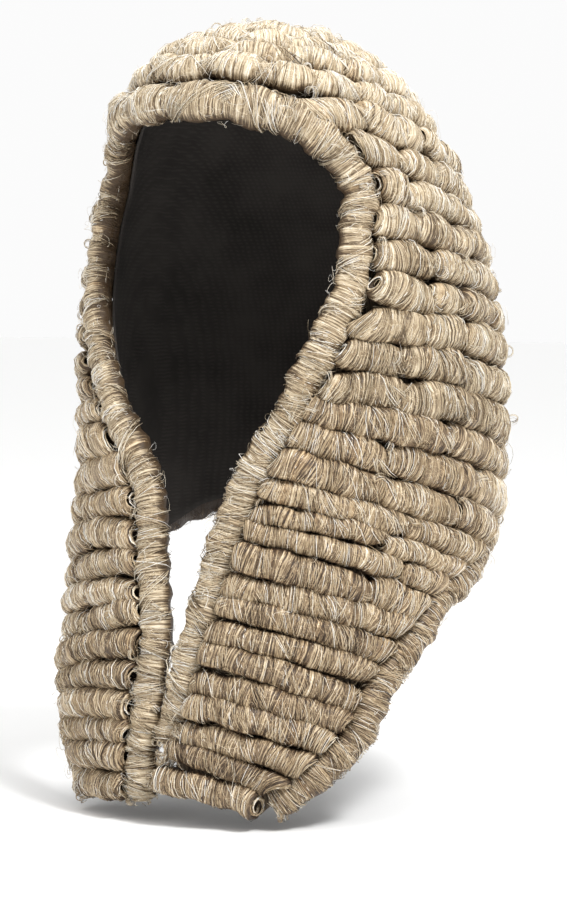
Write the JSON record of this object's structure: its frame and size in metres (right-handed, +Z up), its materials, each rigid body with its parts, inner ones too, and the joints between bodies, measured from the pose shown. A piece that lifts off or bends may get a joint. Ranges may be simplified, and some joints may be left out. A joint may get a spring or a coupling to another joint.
{
  "type": "full-bottomed ceremonial wig",
  "caption": "Long ceremonial wig of curled horsehair: rows of curls on a dark cloth cap, a wound border roll round the face, and two long lappets that hang down in front.",
  "frame": {"origin": "the point inside the top of the cap that rests on the crown of the wearer's head", "axes": "+X to the wearer's left, -Y to the front (the face opening faces -Y), +Z up"},
  "size_m": [0.2323, 0.2627, 0.4127],
  "materials": {
    "horsehair_pale": "pale cream horsehair wound in fine strands, with soft light streaks",
    "horsehair_warm": "warmer tan horsehair wound in fine strands, browner between the curls",
    "cap_cloth": "near-black matt cloth"
  },
  "bodies": {
    "root": {"cap_foundation": "cap_cloth", "face_roll": "horsehair_pale", "hem_roll": "horsehair_warm", "crown_button": "horsehair_pale", "crown_ring_1": "horsehair_pale", "crown_ring_2": "horsehair_pale", "crown_ring_3": "horsehair_pale", "crown_ring_4": "horsehair_pale", "crown_ring_5": "horsehair_pale", "head_row_1": "horsehair_pale", "head_row_2": "horsehair_pale", "head_row_3": "horsehair_pale", "head_row_4": "horsehair_pale", "head_row_5": "horsehair_pale", "head_row_6": "horsehair_pale", "head_row_7": "horsehair_pale", "head_row_8": "horsehair_pale", "head_row_9": "horsehair_pale", "left_row_1": "horsehair_warm", "left_row_2": "horsehair_warm", "left_row_3": "horsehair_warm", "left_row_4": "horsehair_warm", "left_row_5": "horsehair_warm", "left_row_6": "horsehair_warm", "left_row_7": "horsehair_warm", "left_row_8": "horsehair_warm", "left_row_9": "horsehair_warm", "left_row_10": "horsehair_warm", "left_row_11": "horsehair_warm", "left_row_12": "horsehair_warm", "left_row_13": "horsehair_warm", "left_row_14": "horsehair_warm", "left_row_15": "horsehair_warm", "left_row_16": "horsehair_warm", "right_row_1": "horsehair_warm", "right_row_2": "horsehair_warm", "right_row_3": "horsehair_warm", "right_row_4": "horsehair_warm", "right_row_5": "horsehair_warm", "right_row_6": "horsehair_warm", "right_row_7": "horsehair_warm", "right_row_8": "horsehair_warm", "right_row_9": "horsehair_warm", "right_row_10": "horsehair_warm", "right_row_11": "horsehair_warm", "right_row_12": "horsehair_warm", "right_row_13": "horsehair_warm", "right_row_14": "horsehair_warm", "right_row_15": "horsehair_warm"}
  },
  "joints": []
}
